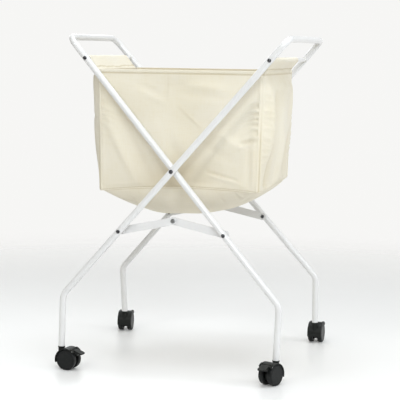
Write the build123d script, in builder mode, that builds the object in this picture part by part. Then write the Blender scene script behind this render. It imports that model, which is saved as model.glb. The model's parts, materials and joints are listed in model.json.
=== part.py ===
from build123d import *
import os
from dataclasses import dataclass
from math import atan2, cos, degrees, hypot, radians, sin, sqrt

# Folding linen trolley: two crossed tube frames on twin-wheel casters carry a hanging cloth bag.
# Millimetres, +Z up, +X to the right, +Y to the back.  The origin is on the floor, under the crossing
# of the frames and midway between the front and the back.

# ---- tube frames -------------------------------------------------------------------------------
TUBE_DIAMETER = 16.0
TUBE_WALL = 1.2
CROSSING_HEIGHT = 494.5        # floor to the bolt that both frames turn on
TUBE_ANGLE = 41.1              # long tubes from the vertical, trolley open
HANDLE_DISTANCE = 425.5        # crossing to the handle bar, along the tube
ROD_DISTANCE = 358.0           # crossing to the bag rod, along the tube
BRACE_DISTANCE = 199.0         # crossing to the brace bolt, down the tube
KNEE_DISTANCE = 414.5          # crossing to the knee bend, down the tube
FOOT_INSET = 2.0               # how far the foot stands inside its knee
FOOT_SPLAY = 16.0              # how far the foot stands out in depth from its knee
KNEE_BEND = 34.0
HANDLE_BEND = 30.0
INNER_HALF_DEPTH = 208.5       # middle plane to the inner frame's tube, at the crossing
INNER_TAPER = 0.075            # the side tubes draw in by this much per mm towards the handle
OUTER_TAPER = 0.028
CROSSING_GAP = 2.0             # between the two tubes, where they cross

# ---- bag rods ----------------------------------------------------------------------------------
ROD_DIAMETER = 10.0
ROD_WALL = 1.0
ROD_PLUG_FLANGE = 14.0
ROD_PLUG_FLANGE_THICKNESS = 3.0
ROD_PLUG_EDGE = 0.8            # rounding of the plug's flange
ROD_PLUG_DEPTH = 18.0

# ---- fasteners ---------------------------------------------------------------------------------
CROSSING_BOLT = 6.0            # shank diameter
CROSSING_HEAD = 10.4
BRACE_BOLT = 5.0
BRACE_HEAD = 9.5
ROD_SCREW = 5.0
ROD_HEAD = 9.5
HEAD_HEIGHT = 3.2
NUT_THICKNESS = 4.5
NUT_EDGE = 0.6
BOLT_END = 0.9                 # how far a bolt stands out of its nut
BOLT_CLEARANCE = 0.08          # radial, of a shank in its hole
SEAT_CLEARANCE = 0.1           # between a flat seat and the round tube's nearest line
WASHER_DIAMETER = 12.0
WASHER_CLEARANCE = 0.03        # between the crossing washer and the tube on each side of it

# ---- folding braces ----------------------------------------------------------------------------
LINK_WIDTH = 19.0
LINK_THICKNESS = 3.0
LINK_RISE = 28.0               # how far the brace's middle joint stands above its two bolts
LINK_SPACER = 5.8              # holds the inner link clear of the tapering tube as it folds
LINK_GAP = 0.4                 # between the two links at the middle joint
SPACER_DIAMETER = 11.0
RIVET_DIAMETER = 6.0
RIVET_HEAD = 12.0
RIVET_HEAD_HEIGHT = 2.2
RIVET_HEAD_EDGE = 1.76
RIVET_END_GAP = 0.1

# ---- casters -----------------------------------------------------------------------------------
WHEEL_RADIUS = 25.0
CASTER_TRAIL = 20.0            # stem axis to the axle
WEB_WIDTH = 11.6               # body of the caster, between its wheels
WHEEL_GAP = 0.4
WHEEL_WIDTH = 12.8
WHEEL_EDGE = 2.4
HUB_RADIUS = 7.0
RIM_WALL = 6.0                 # tread to the hollow inside the wheel
RIM_DEPTH = 7.0
GROOVE_INSET = 3.8             # tread to the ring groove in the outer disc
GROOVE_WIDTH = 1.2
GROOVE_DEPTH = 0.8
WHEEL_FACE = 2.7               # thickness of the closed outer disc
AXLE_DIAMETER = 6.0
AXLE_CLEARANCE = 0.06
TREAD_CLEARANCE = 1.4          # wheel to the hood over it
HOOD_THICKNESS = 2.6
HOOD_FRONT = 195.0             # hood's front edge, degrees round the axle from the rear
HOOD_REAR = 62.0
WEB_BOSS = 9.0                 # how far the web reaches past the wheel hub, round the axle
NECK_DIAMETER = 16.0
NECK_DROP = 1.0                # top of the hood to the top of the neck
STEM_DIAMETER = 8.0
STEM_CLEARANCE = 0.08
STEM_SOCKET = 24.0             # how deep the stem reaches into the neck
STEM_GRIP = 15.0               # how far it reaches up the leg
STEM_EDGE = 0.8
INSERT_OVERHANG = 0.8          # how far the insert's flange stands out past the leg
INSERT_FLANGE_THICKNESS = 2.7
INSERT_GAP = 0.3               # between the tube insert and the swivelling neck
INSERT_DEPTH = 26.0
INSERT_CLEARANCE = 0.05
LEVER_PIN_DIAMETER = 3.0
LEVER_PIN_ANGLE = 51.0
LEVER_BARREL = 5.8
LEVER_WIDTH = 22.0
LEVER_THICKNESS = 3.0
LEVER_LENGTH = 18.1            # how far the lever's tip stands out from the tread
LEVER_TIP_ANGLE = 21.8
LEVER_TIP_CORNER = 4.0
EAR_WIDTH = 5.8
EAR_REAR = 43.0
EAR_OVERLAP = 4.0              # degrees that the ears run up under the hood
EAR_THICKNESS = 5.0
SHOE_CLEARANCE = 3.8           # brake shoe to the tread, lever up
SHOE_ANGLE = 25.0
SHOE_HEEL = (37.0, 2.6)        # angle, and distance from the tread, of the hollow above the shoe
SHOE_TOE = (23.3, 5.8)
SHOE_TOP = (28.8, 9.4)
PIN_CLEARANCE = 0.04
TRAIL_DIRECTION = {            # degrees from +X that each caster trails in
    "front_left": -8.0,
    "front_right": -115.0,
    "back_left": 97.0,
    "back_right": 88.0,
}

# ---- bag ---------------------------------------------------------------------------------------
BAG_ROD_INSET = 23.3           # rod axis to the bag's side, across
BAG_ROD_DROP = 27.3            # rod axis down to the bag's rim
BAG_TUBE_CLEARANCE = 6.3       # bag's front and back to the inner frame, at the rim
BAG_BULGE = 6.0                # how far the sides belly out, halfway down
BAG_DRAW_IN = 2.0              # how much narrower the bag is at its bottom seam, each side
BAG_HEIGHT = 288.0             # rim to the seam round the bottom panel
BAG_SAG = 80.0                 # how far the bottom panel hangs below its seam
BAG_WALL = 2.5
BAG_CORNER = 22.0
BELLY_STEPS = (0.3, 0.6, 0.8, 0.93, 1.0)
BELLY_END = 0.15               # share of the seam's outline that the belly's flat bottom keeps
BELLY_FULLNESS = 1.5           # a larger power keeps the belly wide further down
BELLY_ROUNDING = 0.6           # a smaller power makes its bottom flatter
SLEEVE_SHORTFALL = 117.0       # the sleeves are this much shorter than the frame is deep
SLEEVE_LENGTH = 2 * INNER_HALF_DEPTH - SLEEVE_SHORTFALL
SLEEVE_PLUG_GAP = 2.5          # the sleeve's front end to the rod's front plug
SLEEVE_CLEARANCE = 0.4         # rod to the cloth round it
SLEEVE_WALL = 1.5
SLEEVE_TAPER = 19.0            # rod axis to the stitch line
SLEEVE_FLAP_THICKNESS = 2.4
SLEEVE_END_GAP = 0.6

FRONT, BACK = -1, 1
ENDS = (FRONT, BACK)
TUBE_RADIUS = TUBE_DIAMETER / 2
TUBE_BORE_RADIUS = TUBE_RADIUS - TUBE_WALL

AXLE_CENTRE = (CASTER_TRAIL, WHEEL_RADIUS)
AXLE_AXIS = Axis((CASTER_TRAIL, 0, WHEEL_RADIUS), (0, 1, 0))
HOOD_INNER = WHEEL_RADIUS + TREAD_CLEARANCE
HOOD_OUTER = HOOD_INNER + HOOD_THICKNESS
WHEEL_INNER_FACE = WEB_WIDTH / 2 + WHEEL_GAP
WHEEL_OUTER_FACE = WHEEL_INNER_FACE + WHEEL_WIDTH
NECK_TOP = WHEEL_RADIUS + HOOD_OUTER - NECK_DROP
INSERT_BOTTOM = NECK_TOP + INSERT_GAP
FOOT_HEIGHT = INSERT_BOTTOM + INSERT_FLANGE_THICKNESS    # floor to the open end of the leg
STEM_BOTTOM = NECK_TOP - STEM_SOCKET
STEM_TOP = FOOT_HEIGHT + STEM_GRIP


@dataclass(frozen=True)
class TubeFrame:
    """One of the two crossed frames, bent from a single tube."""

    name: str
    foot_side: int             # +1 when the feet are on the right, -1 on the left
    half_depth: float          # middle plane to the tube's centreline, at the crossing
    taper: float

    def half_depth_at(self, distance):
        return self.half_depth - self.taper * distance

    def point(self, distance, end):
        """A point on the side tube's centreline, measured up from the crossing."""
        lean = radians(TUBE_ANGLE)
        return Vector(
            -self.foot_side * distance * sin(lean),
            end * self.half_depth_at(distance),
            CROSSING_HEIGHT + distance * cos(lean),
        )

    def foot(self, end):
        knee = self.point(-KNEE_DISTANCE, end)
        return Vector(knee.X - self.foot_side * FOOT_INSET, knee.Y + end * FOOT_SPLAY, FOOT_HEIGHT)

    def face(self, distance, side, pad=0.0):
        """Depth of a flat seat of radius pad on the tube: side +1 is its outer face, -1 its inner."""
        tilted_radius = TUBE_RADIUS * sqrt(1 + self.taper**2)
        stand_off = tilted_radius + pad * self.taper + SEAT_CLEARANCE
        return self.half_depth_at(distance) + side * stand_off

    def plane(self, distance, end, depth):
        """A plane across a fastener's axis, at a depth from the middle, facing outward."""
        place = self.point(distance, end)
        return Plane(origin=(place.X, end * depth, place.Z), x_dir=(1, 0, 0), z_dir=(0, end, 0))


INNER = TubeFrame("inner", 1, INNER_HALF_DEPTH, INNER_TAPER)
OUTER = TubeFrame("outer", -1, INNER_HALF_DEPTH + TUBE_DIAMETER + CROSSING_GAP, OUTER_TAPER)
FRAMES = (OUTER, INNER)
LINK_HALF_SPREAD = BRACE_DISTANCE * sin(radians(TUBE_ANGLE))
LINK_LENGTH = hypot(LINK_HALF_SPREAD, LINK_RISE)
INNER_LINK_FACE = INNER.face(-BRACE_DISTANCE, -1, SPACER_DIAMETER / 2) - LINK_SPACER
OUTER_LINK_FACE = INNER_LINK_FACE + LINK_GAP + LINK_THICKNESS
LINK_FACE = {"inner": INNER_LINK_FACE, "outer": OUTER_LINK_FACE}

ROD_PLACE = OUTER.point(ROD_DISTANCE, BACK)
BAG_HALF_WIDTH = ROD_PLACE.X - BAG_ROD_INSET
BAG_TOP = ROD_PLACE.Z - BAG_ROD_DROP
BAG_SEAM = BAG_TOP - BAG_HEIGHT
RIM_DISTANCE = (BAG_TOP - CROSSING_HEIGHT) / cos(radians(TUBE_ANGLE))
BAG_HALF_DEPTH = INNER.face(RIM_DISTANCE, -1) - BAG_TUBE_CLEARANCE


def save(piece, name):
    piece.part.label = name
    export_step(piece.part, f"parts/{name}.step")


# ---- tube frames -------------------------------------------------------------------------------
def make_frame(frame):
    """The bent tube: up one leg, through the knee to the handle, across it and down again."""
    corners = []
    for end in ENDS:
        knee = frame.point(-KNEE_DISTANCE, end)
        foot = frame.foot(end)
        below_foot = foot + (foot - knee).normalized() * TUBE_DIAMETER
        side = [below_foot, knee, frame.point(HANDLE_DISTANCE, end)]
        corners += side if end == FRONT else side[::-1]
    with BuildPart() as tube:
        with BuildLine() as route:
            FilletPolyline(*corners, radius=[KNEE_BEND, HANDLE_BEND, HANDLE_BEND, KNEE_BEND])
        with BuildSketch(Plane(origin=route.line @ 0, z_dir=route.line % 0)):
            Circle(TUBE_RADIUS)
            Circle(TUBE_BORE_RADIUS, mode=Mode.SUBTRACT)
        sweep()
        split(bisect_by=Plane.XY.offset(FOOT_HEIGHT), keep=Keep.TOP)
        holes = ((0, CROSSING_BOLT), (ROD_DISTANCE, ROD_SCREW), (-BRACE_DISTANCE, BRACE_BOLT))
        for distance, bolt in holes:
            for end in ENDS:
                with BuildSketch(frame.plane(distance, end, frame.half_depth_at(distance))):
                    Circle(bolt / 2 + BOLT_CLEARANCE)
                extrude(amount=TUBE_DIAMETER, both=True, mode=Mode.SUBTRACT)
    save(tube, f"{frame.name}_frame")


# ---- fasteners ---------------------------------------------------------------------------------
def make_button_bolt(shank, head, shank_length):
    """A button-head bolt along Z: its seat is at the origin, its head above and its shank below."""
    edge = HEAD_HEIGHT / 4
    tip = shank / 8
    with BuildPart() as bolt:
        with BuildSketch(Plane.XZ):
            with BuildLine():
                dome = TangentArc((0, HEAD_HEIGHT), (head / 2, edge), tangent=(1, 0))
                Polyline(
                    dome @ 1,
                    (head / 2, 0),
                    (shank / 2, 0),
                    (shank / 2, tip - shank_length),
                    (shank / 2 - tip, -shank_length),
                    (0, -shank_length),
                    dome @ 0,
                )
            make_face()
        revolve(axis=Axis.Z)
        with BuildSketch(Plane.XY.offset(HEAD_HEIGHT)):
            RegularPolygon(radius=shank / 3, side_count=6)
        extrude(amount=-HEAD_HEIGHT / 2, mode=Mode.SUBTRACT)
    return bolt.part


def make_nut(shank, across):
    """A plain nut that hangs below its seat at the origin."""
    with BuildPart() as nut:
        with BuildSketch():
            RegularPolygon(radius=across / 2, side_count=6)
        extrude(amount=-NUT_THICKNESS)
        chamfer(nut.faces().sort_by(Axis.Z)[0].edges(), length=NUT_EDGE)
        with BuildSketch():
            Circle(shank / 2 + BOLT_CLEARANCE)
        extrude(amount=-NUT_THICKNESS, mode=Mode.SUBTRACT)
    return nut.part


def place_pair(name, piece, frame, distance, depth):
    """Save one node that holds a piece twice, on the front and on the back side of a frame."""
    with BuildPart() as pair:
        for end in ENDS:
            with Locations(frame.plane(distance, end, depth)):
                add(piece)
    save(pair, name)


def make_ring(outer_diameter, bore, thickness):
    """A flat ring below its seat at the origin."""
    with BuildPart() as ring:
        with BuildSketch():
            Circle(outer_diameter / 2)
            Circle(bore / 2 + BOLT_CLEARANCE, mode=Mode.SUBTRACT)
        extrude(amount=-thickness)
    return ring.part


def make_crossing():
    """The two bolts that both frames turn on, each with a washer between the tubes and a nut."""
    head_seat = OUTER.face(0, 1, CROSSING_HEAD / 2)
    nut_seat = INNER.face(0, -1, CROSSING_HEAD / 2)
    shank = head_seat - nut_seat + NUT_THICKNESS + BOLT_END
    bolt = make_button_bolt(CROSSING_BOLT, CROSSING_HEAD, shank)
    place_pair("crossing_bolts", bolt, OUTER, 0, head_seat)
    place_pair("crossing_nuts", make_nut(CROSSING_BOLT, CROSSING_HEAD), OUTER, 0, nut_seat)
    space_outside = OUTER.face(0, -1, WASHER_DIAMETER / 2)
    space_inside = INNER.face(0, 1, WASHER_DIAMETER / 2)
    washer_face = space_outside - WASHER_CLEARANCE
    washer = make_ring(WASHER_DIAMETER, CROSSING_BOLT, washer_face - space_inside - WASHER_CLEARANCE)
    place_pair("crossing_washers", washer, OUTER, 0, washer_face)


def make_brace_bolts(frame):
    """The bolt, spacer and nut on each side of a frame that hold its end of the folding brace."""
    head_seat = frame.face(-BRACE_DISTANCE, 1, BRACE_HEAD / 2)
    spacer_seat = frame.face(-BRACE_DISTANCE, -1, SPACER_DIAMETER / 2)
    link_face = LINK_FACE[frame.name]
    nut_seat = link_face - LINK_THICKNESS - SEAT_CLEARANCE
    bolt = make_button_bolt(BRACE_BOLT, BRACE_HEAD, head_seat - nut_seat + NUT_THICKNESS + BOLT_END)
    nut = make_nut(BRACE_BOLT, BRACE_HEAD)
    spacer = make_ring(SPACER_DIAMETER, BRACE_BOLT, spacer_seat - link_face - SEAT_CLEARANCE)
    place_pair(f"{frame.name}_brace_bolts", bolt, frame, -BRACE_DISTANCE, head_seat)
    place_pair(f"{frame.name}_brace_spacers", spacer, frame, -BRACE_DISTANCE, spacer_seat)
    place_pair(f"{frame.name}_brace_nuts", nut, frame, -BRACE_DISTANCE, nut_seat)


# ---- bag rods ----------------------------------------------------------------------------------
def rod_plug_seat(frame):
    """Middle plane to the flat face of a frame's tube that a rod's end plug bears on."""
    return frame.face(ROD_DISTANCE, -1, ROD_PLUG_FLANGE / 2)


def rod_half_length(frame):
    return rod_plug_seat(frame) - ROD_PLUG_FLANGE_THICKNESS


def make_rod(frame):
    """The tube that carries one side of the bag, with its end plugs and screws."""
    plug_seat, half_length = rod_plug_seat(frame), rod_half_length(frame)
    bore_radius = ROD_DIAMETER / 2 - ROD_WALL
    with BuildPart() as rod:
        with BuildSketch(frame.plane(ROD_DISTANCE, BACK, 0)):
            Circle(ROD_DIAMETER / 2)
            Circle(bore_radius, mode=Mode.SUBTRACT)
        extrude(amount=half_length, both=True)
    save(rod, f"{frame.name}_bag_rod")

    head_seat = frame.face(ROD_DISTANCE, 1, ROD_HEAD / 2)
    screw_length = head_seat - half_length + ROD_PLUG_DEPTH / 2
    with BuildPart() as plug:
        with BuildSketch():
            Circle(ROD_PLUG_FLANGE / 2)
        extrude(amount=-ROD_PLUG_FLANGE_THICKNESS)
        fillet(plug.edges().filter_by(GeomType.CIRCLE), radius=ROD_PLUG_EDGE)
        with BuildSketch(Plane.XY.offset(-ROD_PLUG_FLANGE_THICKNESS)):
            Circle(bore_radius - BOLT_CLEARANCE / 2)
        extrude(amount=-ROD_PLUG_DEPTH)
        with BuildSketch():
            Circle(ROD_SCREW / 2 + BOLT_CLEARANCE)
        extrude(amount=-ROD_PLUG_FLANGE_THICKNESS - ROD_PLUG_DEPTH, mode=Mode.SUBTRACT)
    screw = make_button_bolt(ROD_SCREW, ROD_HEAD, screw_length)
    place_pair(f"{frame.name}_rod_plugs", plug.part, frame, ROD_DISTANCE, plug_seat)
    place_pair(f"{frame.name}_rod_screws", screw, frame, ROD_DISTANCE, head_seat)


# ---- folding braces ----------------------------------------------------------------------------
def make_link(frame, end):
    """One half of a brace: a flat bar from its frame's bolt up to the middle joint."""
    bolt = frame.plane(-BRACE_DISTANCE, end, LINK_FACE[frame.name]).origin
    middle = Vector(0, bolt.Y, bolt.Z + LINK_RISE)
    outward = Vector(0, end, 0)
    flat = Plane(origin=(bolt + middle) * 0.5, x_dir=middle - bolt, z_dir=outward)
    with BuildPart() as link:
        with BuildSketch(flat):
            SlotCenterToCenter(LINK_LENGTH, LINK_WIDTH)
            with Locations((-LINK_LENGTH / 2, 0)):
                Circle(BRACE_BOLT / 2 + BOLT_CLEARANCE, mode=Mode.SUBTRACT)
            with Locations((LINK_LENGTH / 2, 0)):
                Circle(RIVET_DIAMETER / 2 + BOLT_CLEARANCE, mode=Mode.SUBTRACT)
        extrude(amount=-LINK_THICKNESS)
    place = "front" if end == FRONT else "back"
    save(link, f"{place}_{frame.name}_link")

    # Each link keeps its own half of the rivet, so the joint opens without a clash as the brace folds.
    head_out = 1 if frame is OUTER else -1
    head_face = middle if frame is OUTER else middle - outward * LINK_THICKNESS
    with BuildPart() as rivet:
        with BuildSketch(Plane(origin=head_face, x_dir=(1, 0, 0), z_dir=outward)):
            Circle(RIVET_HEAD / 2)
        extrude(amount=head_out * RIVET_HEAD_HEIGHT)
        rim = rivet.faces().sort_by(Axis.Y)[0 if head_out * end < 0 else -1].edges()
        fillet(rim, radius=RIVET_HEAD_EDGE)
        with BuildSketch(Plane(origin=head_face, x_dir=(1, 0, 0), z_dir=outward)):
            Circle(RIVET_DIAMETER / 2)
        extrude(amount=-head_out * (LINK_THICKNESS - RIVET_END_GAP))
    half = "head" if frame is OUTER else "tail"
    save(rivet, f"{place}_rivet_{half}")


# ---- casters -----------------------------------------------------------------------------------
def round_axle(radius, angle):
    """A point in the caster's side view: a radius and an angle round the axle from the rear."""
    return (
        CASTER_TRAIL + radius * cos(radians(angle)),
        WHEEL_RADIUS + radius * sin(radians(angle)),
    )


def off_tread(angle, distance):
    """A point at a distance outside the wheel's tread."""
    return round_axle(WHEEL_RADIUS + distance, angle)


LEVER_PIN_CENTRE = round_axle(HOOD_OUTER, LEVER_PIN_ANGLE)


def sketch_sector(inner, outer, start, stop):
    """A curved strip round the axle, drawn in the active sketch."""
    with BuildLine() as outline:
        far = CenterArc(AXLE_CENTRE, outer, start, stop - start)
        near = CenterArc(AXLE_CENTRE, inner, start, stop - start)
        Line(far @ 0, near @ 0)
        Line(far @ 1, near @ 1)
    make_face(outline.edges())


def make_hood():
    """The caster's body: a hood over both wheels, a web between them and the neck round the stem."""
    with BuildPart() as hood:
        with BuildSketch(Plane.XY.offset(STEM_BOTTOM)):
            Circle(NECK_DIAMETER / 2)
        extrude(amount=NECK_TOP - STEM_BOTTOM)
        for side in (-1, 1):
            with BuildSketch(Plane.XZ.offset(side * WEB_WIDTH / 2)):
                with Locations(AXLE_CENTRE):
                    Circle(HOOD_INNER)
            extrude(amount=side * NECK_DIAMETER, mode=Mode.SUBTRACT)
        with BuildSketch(Plane.XZ):
            sketch_sector(HOOD_INNER, HOOD_OUTER, HOOD_REAR, HOOD_FRONT)
        extrude(amount=WHEEL_OUTER_FACE, both=True)
        with BuildSketch(Plane.XZ):
            sketch_sector(HUB_RADIUS / 2, HOOD_INNER + HOOD_THICKNESS / 2, HOOD_REAR, HOOD_FRONT)
            with Locations(AXLE_CENTRE):
                Circle(HUB_RADIUS + WEB_BOSS)
        extrude(amount=WEB_WIDTH / 2, both=True)
        for side in (-1, 1):
            with BuildSketch(Plane.XZ.offset(side * WHEEL_OUTER_FACE)):
                sketch_sector(HOOD_INNER, HOOD_INNER + EAR_THICKNESS, EAR_REAR, HOOD_REAR + EAR_OVERLAP)
            extrude(amount=-side * EAR_WIDTH)
        with BuildSketch(Plane.XZ):
            with Locations(LEVER_PIN_CENTRE):
                Circle(LEVER_PIN_DIAMETER / 2 + PIN_CLEARANCE)
            with Locations(AXLE_CENTRE):
                Circle(AXLE_DIAMETER / 2 + PIN_CLEARANCE)
        extrude(amount=2 * WHEEL_OUTER_FACE, both=True, mode=Mode.SUBTRACT)
        with BuildSketch(Plane.XY.offset(STEM_BOTTOM)):
            Circle(STEM_DIAMETER / 2 + STEM_CLEARANCE)
        extrude(amount=NECK_TOP, mode=Mode.SUBTRACT)
    return hood.part


def make_wheel(side):
    """One wheel: a closed outer disc with a ring groove, and a hollow inner face round its hub."""
    bore = AXLE_DIAMETER / 2 + AXLE_CLEARANCE
    inner, outer = side * WHEEL_INNER_FACE, side * WHEEL_OUTER_FACE
    pocket = inner + side * RIM_DEPTH
    groove_floor = outer - side * GROOVE_DEPTH
    bore_end = outer - side * WHEEL_FACE
    groove_top = WHEEL_RADIUS - GROOVE_INSET + GROOVE_WIDTH / 2
    groove_bottom = groove_top - GROOVE_WIDTH
    rim = WHEEL_RADIUS - RIM_WALL
    section = Plane(origin=(CASTER_TRAIL, 0, WHEEL_RADIUS), x_dir=(0, 1, 0), z_dir=(1, 0, 0))
    with BuildPart() as wheel:
        with BuildSketch(section):
            with BuildLine():
                Polyline(
                    (bore_end, bore),
                    (inner, bore),
                    (inner, HUB_RADIUS),
                    (pocket, HUB_RADIUS),
                    (pocket, rim),
                    (inner, rim),
                    (inner, WHEEL_RADIUS),
                    (outer, WHEEL_RADIUS),
                    (outer, groove_top),
                    (groove_floor, groove_top),
                    (groove_floor, groove_bottom),
                    (outer, groove_bottom),
                    (outer, 0),
                    (bore_end, 0),
                    close=True,
                )
            make_face()
        revolve(axis=AXLE_AXIS)
        rims = wheel.edges().filter_by(GeomType.CIRCLE).filter_by(
            lambda edge: abs(edge.radius - WHEEL_RADIUS) < 0.01
        )
        fillet(rims, radius=WHEEL_EDGE)
    return wheel.part


def make_axle():
    with BuildPart() as axle:
        with BuildSketch(Plane.XZ):
            with Locations(AXLE_CENTRE):
                Circle(AXLE_DIAMETER / 2)
        extrude(amount=WHEEL_OUTER_FACE - WHEEL_FACE - WHEEL_GAP, both=True)
    return axle.part


def make_lever_pin():
    with BuildPart() as pin:
        with BuildSketch(Plane.XZ):
            with Locations(LEVER_PIN_CENTRE):
                Circle(LEVER_PIN_DIAMETER / 2)
        extrude(amount=WHEEL_OUTER_FACE - WHEEL_GAP, both=True)
    return pin.part


def make_brake_lever():
    """The foot lever: it turns on its pin, and its shoe comes down on both treads."""
    barrel = LEVER_BARREL / 2
    tip_x, tip_z = off_tread(LEVER_TIP_ANGLE, LEVER_LENGTH)
    slope = degrees(atan2(tip_z - LEVER_PIN_CENTRE[1], tip_x - LEVER_PIN_CENTRE[0]))
    with BuildPart() as lever:
        with BuildSketch(Plane.XZ):
            with BuildLine():
                Polyline(
                    PolarLine(LEVER_PIN_CENTRE, barrel, slope + 90, mode=Mode.PRIVATE) @ 1,
                    (tip_x, tip_z + LEVER_THICKNESS / 2),
                    (tip_x, tip_z - LEVER_THICKNESS / 2),
                    off_tread(*SHOE_TOP),
                    off_tread(*SHOE_TOE),
                    off_tread(SHOE_ANGLE, SHOE_CLEARANCE),
                    off_tread(*SHOE_HEEL),
                    round_axle(HOOD_OUTER - barrel, LEVER_PIN_ANGLE),
                    LEVER_PIN_CENTRE,
                    close=True,
                )
            make_face()
            with Locations(LEVER_PIN_CENTRE):
                Circle(barrel)
                Circle(LEVER_PIN_DIAMETER / 2 + AXLE_CLEARANCE, mode=Mode.SUBTRACT)
        extrude(amount=LEVER_WIDTH / 2, both=True)
        tip = lever.faces().sort_by(Axis.X)[-1]
        fillet(tip.edges().filter_by(Axis.Z), radius=LEVER_TIP_CORNER)
    return lever.part


def make_stem():
    """The caster's steel stem, fixed in the leg; the hood swivels round it."""
    with BuildPart() as stem:
        with BuildSketch(Plane.XY.offset(STEM_BOTTOM)):
            Circle(STEM_DIAMETER / 2)
        extrude(amount=STEM_TOP - STEM_BOTTOM)
        chamfer(stem.edges().filter_by(GeomType.CIRCLE), length=STEM_EDGE)
    return stem.part


def make_insert(frame, end):
    """The plastic plug in the open end of a leg: upright round the stem, its spigot along the leg."""
    foot = frame.foot(end)
    leg = frame.point(-KNEE_DISTANCE, end) - foot
    flange_bottom = Plane(origin=(foot.X, foot.Y, INSERT_BOTTOM))
    with BuildPart() as insert:
        with BuildSketch(flange_bottom):
            Circle(TUBE_RADIUS + INSERT_OVERHANG)
        extrude(amount=INSERT_FLANGE_THICKNESS)
        with BuildSketch(Plane(origin=foot, z_dir=leg)):
            Circle(TUBE_BORE_RADIUS - INSERT_CLEARANCE)
        extrude(amount=INSERT_DEPTH)
        with BuildSketch(flange_bottom):
            Circle(STEM_DIAMETER / 2 + PIN_CLEARANCE)
        extrude(amount=STEM_TOP - NECK_TOP, mode=Mode.SUBTRACT)
    return insert


def make_caster(name, frame, end, pieces):
    """One caster under a leg, its pieces turned to the direction that it trails in."""
    foot = frame.foot(end)
    trail = radians(TRAIL_DIRECTION[name])
    place = Plane(origin=(foot.X, foot.Y, 0), x_dir=(cos(trail), sin(trail), 0), z_dir=(0, 0, 1))
    save(make_insert(frame, end), f"{name}_leg_insert")
    for piece_name, piece in pieces.items():
        with BuildPart() as placed:
            with Locations(place):
                add(piece)
        save(placed, f"{name}_{piece_name}")


def make_casters():
    pieces = {
        "caster_stem": make_stem(),
        "caster_hood": make_hood(),
        "caster_axle": make_axle(),
        "left_wheel": make_wheel(1),
        "right_wheel": make_wheel(-1),
        "brake_lever": make_brake_lever(),
        "lever_pin": make_lever_pin(),
    }
    make_caster("front_left", OUTER, FRONT, pieces)
    make_caster("front_right", INNER, FRONT, pieces)
    make_caster("back_left", OUTER, BACK, pieces)
    make_caster("back_right", INNER, BACK, pieces)


# ---- bag ---------------------------------------------------------------------------------------
def bag_section(height, half_width, half_depth, corner):
    """The bag's outline at one height."""
    with BuildSketch(Plane.XY.offset(height)) as section:
        RectangleRounded(2 * half_width, 2 * half_depth, corner)
    return section.sketch


def bag_sections(shrink):
    """The bag's outlines from its rim down, made smaller all round by a wall's thickness."""
    width, depth = BAG_HALF_WIDTH - shrink, BAG_HALF_DEPTH - shrink
    foot, corner = width - BAG_DRAW_IN, BAG_CORNER - shrink
    sections = [
        bag_section(BAG_TOP + shrink, width, depth, corner),
        bag_section((BAG_TOP + BAG_SEAM) / 2, width + BAG_BULGE, depth + BAG_BULGE / 2, corner),
        bag_section(BAG_SEAM, foot, depth, corner),
    ]
    for drop in BELLY_STEPS:
        scale = max((1 - drop**BELLY_FULLNESS) ** BELLY_ROUNDING, BELLY_END)
        height = BAG_SEAM - drop * (BAG_SAG - shrink)
        sections.append(bag_section(height, foot * scale, depth * scale, corner * scale))
    return sections


def make_bag():
    """The cloth bag below its sleeves: four upright panels and a bottom panel that hangs in a belly."""
    outside, inside = bag_sections(0), bag_sections(BAG_WALL)
    with BuildPart() as bag:
        loft(outside, ruled=True)
        loft(inside, ruled=True, mode=Mode.SUBTRACT)
    save(bag, "bag")


def make_sleeve(frame):
    """The bag's loop round one rod, with the flap that runs from it to the bag's rim."""
    rod = frame.point(ROD_DISTANCE, FRONT)
    rim = Vector(-frame.foot_side * BAG_HALF_WIDTH, 0, BAG_TOP)
    pull = rim - Vector(rod.X, 0, rod.Z)
    flap_end = pull.length - SLEEVE_END_GAP
    half_flap = SLEEVE_FLAP_THICKNESS / 2
    bore = ROD_DIAMETER / 2 + SLEEVE_CLEARANCE
    outside = bore + SLEEVE_WALL
    front_end = SLEEVE_PLUG_GAP - rod_half_length(frame)
    with BuildPart() as sleeve:
        with BuildSketch(Plane(origin=(rod.X, front_end, rod.Z), x_dir=pull, z_dir=(0, 1, 0))):
            with BuildLine():
                Polyline(
                    (0, outside),
                    (SLEEVE_TAPER, half_flap),
                    (flap_end, half_flap),
                    (flap_end, -half_flap),
                    (SLEEVE_TAPER, -half_flap),
                    (0, -outside),
                    close=True,
                )
            make_face()
            Circle(outside)
            Circle(bore, mode=Mode.SUBTRACT)
        extrude(amount=SLEEVE_LENGTH)
    save(sleeve, f"{frame.name}_sleeve")


os.makedirs("parts", exist_ok=True)
for tube_frame in FRAMES:
    make_frame(tube_frame)
    make_rod(tube_frame)
    make_brace_bolts(tube_frame)
    make_sleeve(tube_frame)
    for frame_end in ENDS:
        make_link(tube_frame, frame_end)
make_crossing()
make_casters()
make_bag()
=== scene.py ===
"""Folding linen trolley: the finish of its frames, casters and fittings, and its sewn canvas bag.

Metres, +Z up, +X to the right, +Y to the back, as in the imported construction.  The bag is cloth, so
its walls, belly, hems, seams, stitches and rod sleeves are made here, as surfaces worked out on grids.
"""

import json
import logging
import math
from dataclasses import dataclass, field
from enum import Enum
from typing import Dict, List, Optional, Sequence, Tuple, Union

import bmesh
import bpy
import numpy as np
from mathutils import Matrix, Vector


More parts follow.
